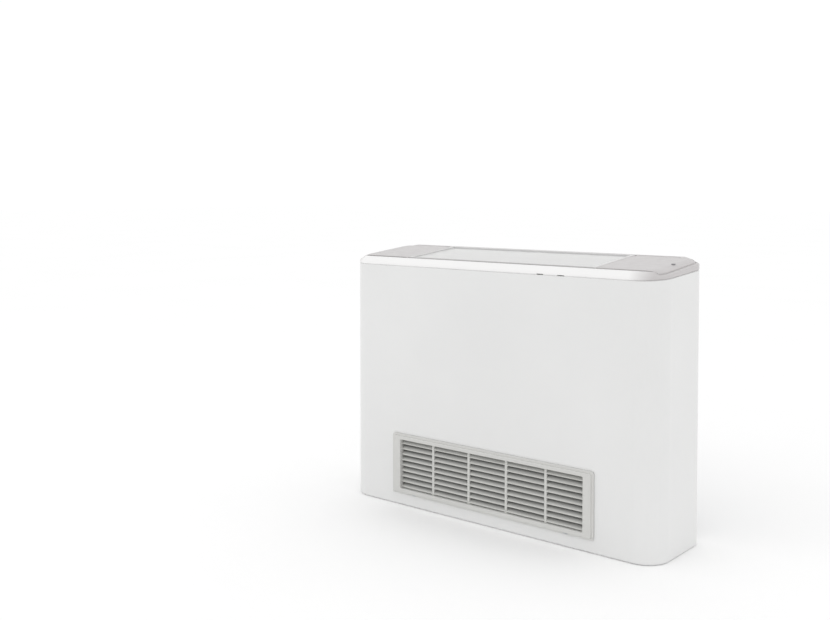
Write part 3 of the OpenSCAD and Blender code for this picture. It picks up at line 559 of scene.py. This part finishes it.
# ---------------------------------------------------------------- top cover: moulded lip, ledge, openings, rear rim
def cover():
    g = Geo()
    ELL = (14.0, 12.0)
    sp = math.asin(0.75)

    def rim(phi):
        return ELL[0] * (1 - math.cos(phi)), -ELL[1] * (1 - math.sin(phi))

    def lift(x, y):
        return 0.0 if y > YF + 5 else 0.6 if 124 < x < 140 else 0.25 if 174 < x < 190 else 0.0

    def ring_z(d, fz):
        return g.verts([(x, y, fz(x, y)) for x, y in plan(d, NOTCH)[0]])

    def ring_w(d, w):
        return g.verts([(x, y, top(y, w)) for x, y in plan(d, NOTCH)[0]])

    _, qr, jr, jl, ql = plan(0, NOTCH)
    inner0 = ring_z(2.5, lambda x, y: seam(y) + 1.5 + lift(x, y))
    low = [ring_z(d, lambda x, y, h=h: seam(y) + 1.5 + h + lift(x, y)) for d, h in ((0.7, 0.0), (0.2, 0.18), (0.0, 0.7))]
    side = [ring_w(0.0, -12.0)]
    for k in range(1, 9):
        side.append(ring_w(*rim(sp * k / 8)))
    rings = [inner0] + low + side
    for a, b in zip(rings, rings[1:]):
        g.bridge(a, b)
    ledge = rings[-1]

    # the rim closes to the full height round the back and along the front
    def close(idx):
        prev = [ledge[j] for j in idx]
        first, last = [prev[0]], [prev[-1]]
        for k in range(1, 8):
            d, w = rim(sp + (math.pi / 2 - sp) * k / 7)
            p = plan(d, NOTCH)[0]
            cur = g.verts([(p[j][0], p[j][1], top(p[j][1], w)) for j in idx])
            g.bridge(prev, cur, False)
            first.append(cur[0])
            last.append(cur[-1])
            prev = cur
        return prev, first, last

    # the ledge under each lid goes inwards in steps, because it rounds down with the lid
    def shelf(idx):
        rows = [[ledge[j] for j in idx]]
        for d in (8.0, 10.5, 13.0, 15.5):
            p = plan(d, NOTCH)[0]
            rows.append(g.verts([(p[j][0], p[j][1], top(p[j][1], -3)) for j in idx]))
            g.bridge(rows[-2], rows[-1], False)
        return rows[-1], [r[0] for r in rows[1:]], [r[-1] for r in rows[1:]]

    crest, ends_r, ends_l = close(list(range(jr, jl + 1)))
    band, band_l, band_r = close(list(range(ql, len(ledge))) + list(range(0, qr + 1)))
    shelf_r, front_r, rear_r = shelf(list(range(qr, jr + 1)))
    shelf_l, rear_l, front_l = shelf(list(range(jl, ql + 1)))
    g.fill([band])
    g.face(band_r + list(reversed(band_l)) + front_l + list(reversed(front_r)))

    def wy(y):
        return tl(0, y, -3)[1]

    yl, yo = wy(90.6), wy(95.4)
    half = [(EAR, YS), (EAR, yl), (245.0, yl), (245.0, yo)]
    line = half + [(-x, y) for x, y in reversed(half)]
    lo = g.verts([(x, y, top(y, -3)) for x, y in line])
    hi = g.verts([(x, y, top(y, 0)) for x, y in line])
    g.bridge(lo, hi, False)
    g.face(ends_r + [hi[0], lo[0]] + list(reversed(rear_r)))
    g.face(ends_l + [hi[-1], lo[-1]] + list(reversed(rear_l)))
    g.fill([crest + list(reversed(hi))])

    # openings
    def lid_hole():
        q = [(253.0, wy(-72))] + arc(XH - R1, YF + R1, R1 - 18, -math.degrees(math.asin((YF + R1 - wy(-72)) / (R1 - 18))), 0, 12)
        t = math.degrees(math.asin((YS - 0.6 - (YB - R2)) / (R2 - 18)))
        q += arc(XH - R2, YB - R2, R2 - 18, 0, t, 8)
        return q + [(EAR - 0.2, YS - 0.6), (EAR - 0.2, yl - 0.6), (253.0, yl - 0.6)]

    right = lid_hole()
    left = [(-x, y) for x, y in reversed(right)]
    mid = [(-241.0, wy(-72)), (241.0, wy(-72)), (241.0, wy(92)), (-241.0, wy(92))]
    up, dn = [], []
    for q in (right, left, mid):
        a = g.verts([(x, y, top(y, -3)) for x, y in q])
        b = g.verts([(x, y, top(y, -5.5)) for x, y in q])
        g.bridge(a, b)
        up.append(a)
        dn.append(b)
    g.fill([shelf_r + lo + shelf_l] + up)
    under = [inner0, ring_w(2.5, -14.0), ring_w(7.0, -14.0), ring_w(7.0, -5.5)]
    for a, b in zip(under, under[1:]):
        g.bridge(a, b)
    g.fill([under[-1]] + dn)

    # ribs beside the outlet, with pin bosses, and ears for the pins' outer ends
    for s in (-1, 1):
        x0, x1 = sorted((s * 245.0, s * 249.0))
        g.box((x0, -76.4, -9.0), (x1, 94.9, -0.05), tl, 0.35)
        x0, x1 = sorted((s * EAR, s * (EAR + 8)))
        g.box((x0, HY - 3.4, -8.0), (x1, 94.0, -3.9), tl, 0.3)
    # skirt on the casing's flange, open at the back
    n = len(plan(0, NOTCH)[0])
    k = jl - 10
    order = [(k + i) % n for i in range(n)]
    prof = [(2.0, 0.03), (5.0, 0.03), (5.0, 9.0), (2.0, 9.0)]
    ps = {d: plan(d, NOTCH)[0] for d in (2.0, 5.0)}
    cut = [order.index(j) for j in (1, 4, 5, 8)]
    for run in (order[:cut[0] + 1], order[cut[1]:cut[2] + 1], order[cut[3]:]):
        g.loft([[(ps[d][j][0], ps[d][j][1], seam(ps[d][j][1]) + h) for d, h in prof] for j in run])
    # the ends of the moulding round down
    for v in g.bm.verts:
        x, y, z = v.co / MM
        w = (z - top(y, 0)) * math.cos(TA)
        k = droop(x, y)
        if w < -12.01 or k == 0:
            continue
        if w < -3.01 and from_edge(x, y)[0] < 5.2:
            t = (w + 12) / 9
            k = k * t + min(0.0, 6 + k) * (1 - t)
        elif w < -5.6:
            continue
        v.co.z += k * MM
    return g.object("top_cover_moulding", MATS["lip_painted_highlight"], "cabinet", "cap_plastic", ["top_cover"], 38)


# ---------------------------------------------------------------- access lids
def lid(s):
    g = Geo()
    t8 = math.degrees(math.asin((79 - (YB - R2)) / (R2 - 8)))
    t14 = [math.degrees(math.asin((y - (YB - R2)) / (R2 - 14.5))) for y in (79, HY - 5)]
    hinge = [(EAR - 0.6, HY - 5), (EAR - 0.6, HY + 3), (LX0 + 4.6, HY + 3), (LX0 + 4.6, HY - 5.4), (LX0 + 0.5, HY - 5.4)]
    f8, f14 = [-math.degrees(math.asin((R1 - 28.5) / (R1 - i))) for i in (8, 14.5)]
    a = [(LX0 + 0.5, YF + 28.5)] + arc(XH - R1, YF + R1, R1 - 8, f8, 0, 16) + arc(XH - R2, YB - R2, R2 - 8, 0, t8, 10)
    a += arc(XH - R2, YB - R2, R2 - 14.5, t14[0], t14[1], 2) + hinge
    b = [(LX0 + 0.5, YF + 28.5)] + arc(XH - R1, YF + R1, R1 - 14.5, f14, 0, 14) + arc(XH - R2, YB - R2, R2 - 14.5, 0, t14[1], 10)
    b += hinge
    hole = [arc(XH - 22, 2, 3.55, 0, 360, 24)[:-1]] if s > 0 else []

    def side(q):
        return q if s > 0 else [(-x, y) for x, y in reversed(q)]

    g.slab(side(a), hole, -2.86, -0.2, tl, 0.3)
    g.slab(side(b), hole, -2.7, -1.9, tl, 0)
    # the outer end rounds down, so it gets a finer mesh first
    cuts = [((s * x, 0, 0), (s, 0, 0)) for x in range(340, 394, 4)] + [((0, y, 0), (0, 1, 0)) for y in list(range(-98, -44, 4)) + list(range(56, 82, 4))]
    for co, no in cuts:
        fs = [f for f in g.bm.faces if all(abs(v.co.x) > 0.3399 for v in f.verts)] if co[0] == 0 else g.bm.faces[:]
        geom = list({v for f in fs for v in f.verts}) + list({e for f in fs for e in f.edges}) + fs
        bmesh.ops.bisect_plane(g.bm, geom=geom, dist=1e-6, plane_co=Vector(co) * MM, plane_no=no)
    for v in g.bm.verts:
        v.co.z += droop(v.co.x / MM, v.co.y / MM) * MM
    # stiffening ribs under the plate and the hinge barrel
    for x in (275.0, 330.0):
        x0, x1 = sorted((s * x, s * (x + 1.6)))
        g.box((x0, -70.0, -4.6), (x1, 78.0, -2.6), tl, 0.2)
    x0, x1 = sorted((s * (LX0 + 4.6), s * (EAR - 0.6)))
    g.rod([(HY + p[0], HW + p[1]) for p in arc(0, 0, 2.9, 0, 360, 28)[:-1]], x0, x1, tl, 0.15)
    side_name = "right" if s > 0 else "left"
    return g.object(side_name + "_lid_moulding", MATS["cap_plastic"], side_name + "_access_lid", "cap_plastic", [side_name + "_lid"], 38)


# ---------------------------------------------------------------- quarter-turn lock: slotted head, shank, cranked cam
def lock():
    g = Geo()

    def at(x, y, w):
        return tl(XH - 22 + x, 2 + y, w)

    g.slab(arc(0, 0, 4.2, 0, 360, 40)[:-1], [], 0.0, 0.7, at, 0)
    half = math.degrees(math.asin(0.6 / 4.2))
    for a in (0, 180):
        g.slab(arc(0, 0, 4.2, a + half, a + 180 - half, 20), [], 0.6, 1.3, at, 0.25)
    g.loft([[at(r * math.cos(k * math.pi / 20), r * math.sin(k * math.pi / 20), w) for k in range(40)] for r, w in ((3.3, -8.0), (3.5, -7.8), (3.5, 0.1))])
    g.rod([(-5, -6.2), (-5, -8.2), (2.4, -8.2), (5.4, -13.2), (13.8, -13.2), (13.8, -11.6), (6.6, -11.6), (3.5, -6.2)], -3.6, 3.6, at, 0.03)
    return g.object("lid_lock_cam", MATS["lock_steel"], "lid_lock", "fastener_steel", ["right_lid_lock"], 38)


# ---------------------------------------------------------------- outlet grille
def outlet():
    g = Geo()
    x1, y0, y1 = 244.8, YF + 28.2, YB - 14.8
    a = [(-x1, y0), (x1, y0), (x1, y1), (-x1, y1)]

    def hole(k, r=3.0):
        hx, ya, yb_ = x1 - k, y0 + k - 1, y1 - k + 1
        return arc(hx - r, ya + r, r, -90, 0, 5) + arc(hx - r, yb_ - r, r, 0, 90, 5) + arc(-hx + r, yb_ - r, r, 90, 180, 5) + arc(-hx + r, ya + r, r, 180, 270, 5)

    g.slab(a, [hole(7)], -2.8, -0.2, tl, 0.5)
    g.slab(hole(5, 4.0), [hole(7)], -12.5, -2.7, tl, 0)
    pitch = (y1 - y0 - 12) / 19
    # vanes: round upper edge, slightly thicker foot
    for i in range(1, 19):
        yc = y0 + 6 + pitch * i
        prof = [(yc - 1.0, -12.5), (yc + 1.0, -12.5), (yc + 1.3, -5.2)] + [(yc + p[0], -4.7 + p[1]) for p in arc(0, 0, 1.3, 0, 180, 8)] + [(yc - 1.3, -5.2)]
        g.rod(prof, -x1 + 6.3, x1 - 6.3, tl)
    for x in (-0.5, 0.0, 0.5):
        g.box((x * x1 - 1.5, y0 + 5.5, -12.0), (x * x1 + 1.5, y1 - 5.5, -7.0), tl, 0.3)
    return g.object("outlet_vanes", MATS["outlet_painted_light"], "cabinet", "cap_plastic", ["outlet_grille"], 38)


# ---------------------------------------------------------------- intake grille
def intake():
    iz0, iz1 = 39.5, 152.3
    g = Geo()
    rings = [
        rrect(264.0, 29.5, 166.0, 6.0, -104.6), rrect(264.0, 29.5, 166.0, 6.0, -106.5), rrect(263.8, 29.7, 165.8, 5.8, -106.85),
        rrect(263.4, 30.0, 165.4, 5.5, -107.0), rrect(259.6, 30.2, 161.6, 4.8, -107.0), rrect(259.1, 30.3, 161.1, 4.5, -107.25),
        rrect(259.0, 30.4, 161.0, 4.5, -107.6), rrect(258.9, 30.5, 160.9, 4.4, -109.0), rrect(258.6, 30.8, 160.6, 4.2, -109.6),
        rrect(258.0, 31.4, 160.0, 3.8, -109.9), rrect(257.2, 32.2, 159.2, 3.4, -110.0),
        rrect(241.8, 37.7, 154.1, 3.2, -110.0), rrect(241.0, 38.5, 153.3, 2.8, -109.85), rrect(240.4, 39.1, 152.7, 2.4, -109.5),
        rrect(240.1, 39.4, 152.4, 2.1, -108.8), rrect(240.0, iz0, iz1, 2.0, -108.0), rrect(240.0, iz0, iz1, 2.0, -91.2),
        rrect(242.2, 37.3, 154.5, 3.0, -91.2), rrect(242.2, 37.3, 154.5, 3.0, -104.6),
    ]
    g.loft(rings, loop=True)
    bmesh.ops.recalc_face_normals(g.bm, faces=g.bm.faces[:])
    me = bpy.data.meshes.new("frame_blank")
    g.bm.to_mesh(me)
    g.bm.free()
    blank = bpy.data.objects.new("frame_blank", me)
    scene.collection.objects.link(blank)
    k = Geo()
    for s in (-200.0, 200.0):
        k.box((s - 6, -109.0, 20.0), (s + 6, -103.0, 33.5), bevel=0.4)
    bmesh.ops.recalc_face_normals(k.bm, faces=k.bm.faces[:])
    mc = bpy.data.meshes.new("notch_cutter")
    k.bm.to_mesh(mc)
    k.bm.free()
    cutter = bpy.data.objects.new("notch_cutter", mc)
    scene.collection.objects.link(cutter)
    cut = blank.modifiers.new("notches", "BOOLEAN")
    cut.operation = "DIFFERENCE"
    cut.solver = "EXACT"
    cut.object = cutter
    bpy.context.view_layer.update()
    done = bpy.data.meshes.new_from_object(blank.evaluated_get(bpy.context.evaluated_depsgraph_get()))
    bpy.data.objects.remove(blank)
    bpy.data.objects.remove(cutter)
    g = Geo()
    g.bm.from_mesh(done)
    bpy.data.meshes.remove(done)
    # hinge barrel, cut away at the two lugs
    circle = [(-106.6 + p[0], 29.5 + p[1]) for p in arc(0, 0, 2.2, 0, 360, 28)[:-1]]
    for x0, x1 in ((-263.0, -206.0), (-194.0, 194.0), (206.0, 263.0)):
        g.rod(circle, x0, x1, lambda x, y, z: (x, y, z), 0.12)
    # filter channels and sill
    for s in (-1, 1):
        x0, x1 = sorted((s * 250.0, s * 252.5))
        g.box((x0, -105.2, 37.0), (x1, -87.0, 159.0), bevel=0.3)
        x0, x1 = sorted((s * 245.0, s * 252.0))
        g.box((x0, -88.2, 37.0), (x1, -87.0, 159.0), bevel=0.3)
    g.box((-251.0, -105.0, 36.9), (251.0, -87.05, 39.4), bevel=0.3)
    # mullions and slats
    for i in range(1, 5):
        x = 99.0 * (i - 2.5)
        g.box((x - 3, -103.0, 38.2), (x + 3, -91.5, 153.6), bevel=0.9, seg=3)
    pitch = (iz1 - iz0) / 9
    c, s_ = math.cos(math.radians(38)), math.sin(math.radians(38))
    sect = pill(-7.0, 7.0, 2.0, 0.75, 4)
    for n in range(9):
        zc = iz0 + pitch * (n + 0.5)
        g.rod([(-97.8 + p[0] * c - p[1] * s_, zc + p[0] * s_ + p[1] * c) for p in sect], -241.0, 241.0, lambda x, y, z: (x, y, z))
    return g.object("intake_grille_moulding", MATS["grille_plastic"], "intake_door", "grille_plastic", ["intake_grille"], 38)


# ---------------------------------------------------------------- filter net of woven threads
def net():
    g = Geo()
    z0, z1, hx, step, r = 48.6, 147.4, 240.4, 2.4, 0.24
    nx, nz = int(2 * hx / step), int((z1 - z0) / step)
    # the horizontal threads pass in front of and behind the upright ones in turn
    for i in range(1, nz):
        z = z0 + (z1 - z0) * i / nz
        rings = []
        for j in range(0, nx + 1):
            x = -hx + 2 * hx * j / nx
            y = -89.3 + (0.22 if (i + j) % 2 else -0.22)
            rings.append([(x, y - r, z), (x, y, z + r), (x, y + r, z), (x, y, z - r)])
        g.loft(rings)
    for j in range(1, nx):
        x = -hx + 2 * hx * j / nx
        rings = []
        for z in (z0, z1):
            y = -89.3
            rings.append([(x - r, y, z), (x, y - r, z), (x + r, y, z), (x, y + r, z)])
        g.loft(rings)
    return g.object("filter_net_weave", MATS["filter_net"], "filter", "filter_net", ["filter_mesh"], 80, False)


# ---------------------------------------------------------------- finned block of the coil
def fins():
    g = Geo()
    n = 228
    ys = [-22.0, -16.5, -11.0, -5.5, 0.0, 5.5, 11.0, 16.5, 22.0]
    for i in range(n):
        x = -245.9 + 491.8 * i / (n - 1)
        rows = []
        for z in (-120.0, 120.0):
            left = [coil(x - 0.12 + (0.35 if k % 2 else 0.0), y, z) for k, y in enumerate(ys)]
            right = [coil(x + 0.12 + (0.35 if k % 2 else 0.0), y, z) for k, y in enumerate(ys)]
            rows.append(left + right[::-1])
        g.loft(rows)
    return g.object("coil_fin_block", MATS["fin_aluminium"], "cabinet", "fin_aluminium", ["coil_fins"], 50, False)


casing()
cover()
lid(-1)
lid(1)
lock()
outlet()
intake()
net()
fins()

# ---------------------------------------------------------------- CAD nodes that stay: eased edges and materials
NO_BEVEL = {"motor_lead", "left_blower_wheel", "right_blower_wheel", "coil_tubes"}
SHEET = {"left_end_plate", "right_end_plate", "back_plate", "upper_front_plate", "lower_front_plate", "bottom_plate", "fan_deck",
         "coil_end_plates", "drain_pan", "terminal_box", "terminal_box_cover", "motor_bracket", "grille_clips"}
slots = {s["node"]: s["material_slot"] for s in frame["record"]["subparts"]}
for name, o in sorted(frame["nodes"].items()):
    if o.hide_render:
        continue
    o.data.materials.clear()
    o.data.materials.append(MATS[slots[name]])
    w = o.modifiers.new("weld", "WELD")
    w.merge_threshold = 1e-5
    if name in NO_BEVEL:
        continue
    b = o.modifiers.new("eased", "BEVEL")
    b.width = (0.25 if name in SHEET else 0.45) * MM
    b.segments = 2
    b.limit_method = "ANGLE"
    b.angle_limit = math.radians(40)
    b.harden_normals = False
    o.modifiers.new("normals", "WEIGHTED_NORMAL").keep_sharp = True

# ---------------------------------------------------------------- floor, light, camera
fm = Mat("studio_floor")
fm.colour(fm.ramp(fm.noise(1.5, 2, 0.5), [(0.3, (0.975, 0.975, 0.975)), (0.7, (0.985, 0.985, 0.985))]))
fm.rough(fm.span(fm.noise(4, 2, 0.5), 0.9, 0.96))
fm.set(Specular_IOR_Level=0.0)
fb = bmesh.new()
bmesh.ops.create_grid(fb, x_segments=8, y_segments=8, size=30)
fme = bpy.data.meshes.new("floor")
fb.to_mesh(fme)
fb.free()
fme.materials.append(fm.m)
floor = bpy.data.objects.new("floor", fme)
floor.location = (0, 0, -0.0005)
scene.collection.objects.link(floor)

world = bpy.data.worlds.new("studio")
world.use_nodes = True
bg = next(n for n in world.node_tree.nodes if n.type == "BACKGROUND")
bg.inputs["Color"].default_value = (1.0, 1.0, 1.0, 1)
bg.inputs["Strength"].default_value = 1.02
scene.world = world


def area(name, loc, aim, size, power, colour=(1, 1, 1)):
    l = bpy.data.lights.new(name, "AREA")
    l.shape = "RECTANGLE"
    l.size, l.size_y = size
    l.energy = power
    l.color = colour
    o = bpy.data.objects.new(name, l)
    o.location = loc
    o.rotation_mode = "QUATERNION"
    o.rotation_quaternion = (Vector(aim) - Vector(loc)).to_track_quat("-Z", "Y")
    scene.collection.objects.link(o)


area("key", (-1.6, -2.6, 2.6), (0, 0, 0.35), (1.8, 1.4), 4)
area("side", (2.8, -0.3, 1.5), (0.2, 0, 0.3), (1.4, 1.4), 1.5)

cd = bpy.data.cameras.new("camera")
cd.sensor_width = 36
cd.lens = 44.786
cd.shift_y = -0.10
cam = bpy.data.objects.new("camera", cd)
cam.location = (1.2919, -1.893, 0.7304)
cam.rotation_euler = (math.radians(87.812), 0, math.radians(39.833))
scene.collection.objects.link(cam)
scene.camera = cam
scene.view_settings.view_transform = "Standard"
scene.view_settings.look = "None"
